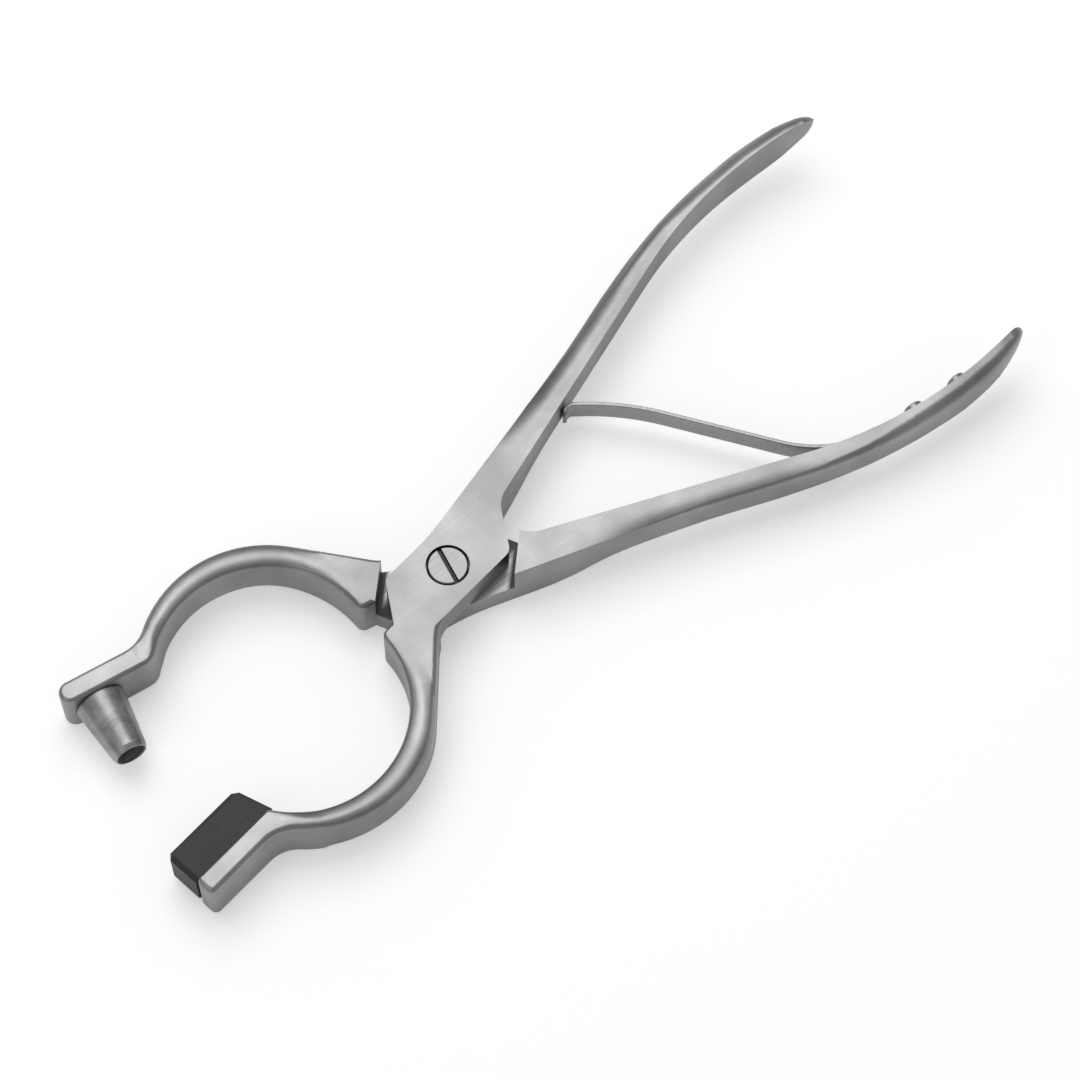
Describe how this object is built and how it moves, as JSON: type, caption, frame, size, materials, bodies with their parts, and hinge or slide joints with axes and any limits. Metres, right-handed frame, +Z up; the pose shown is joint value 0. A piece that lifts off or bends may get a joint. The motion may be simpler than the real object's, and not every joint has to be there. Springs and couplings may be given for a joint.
{
  "type": "nose ring pliers",
  "caption": "Hand pliers for cattle nose rings: two levers crossed in a screwed lap joint, round bow jaws, one with a hollow punch, one with a flat pad, leaf spring between the handles.",
  "frame": {"origin": "on the pivot axis, at the underside of the joint, where the tool rests when it lies flat", "axes": "+Z up along the pivot axis, +X along the tool towards the handles, +Y towards the anvil lever's handle"},
  "size_m": [0.2483, 0.0904, 0.0179],
  "materials": {
    "forged_steel": "satin",
    "screw_steel": "satin",
    "punch_steel": "turned",
    "spring_steel": "satin",
    "pad_plastic": "matte"
  },
  "bodies": {
    "punch_side": {"punch_lever": "forged_steel", "pivot_screw": "screw_steel", "punch_tube": "punch_steel", "return_spring": "spring_steel", "spring_screws": "screw_steel"},
    "anvil_side": {"anvil_lever": "forged_steel", "anvil_pad": "pad_plastic"}
  },
  "joints": [
    {"name": "lever_pivot", "type": "hinge", "parent": "punch_side", "child": "anvil_side", "pos_m": [0, 0, 0.0067], "axis": [0, 0, 1], "range_deg": [-17, 5], "stiffness_Nm_per_rad": 1.9, "deforming": ["return_spring"]}
  ]
}
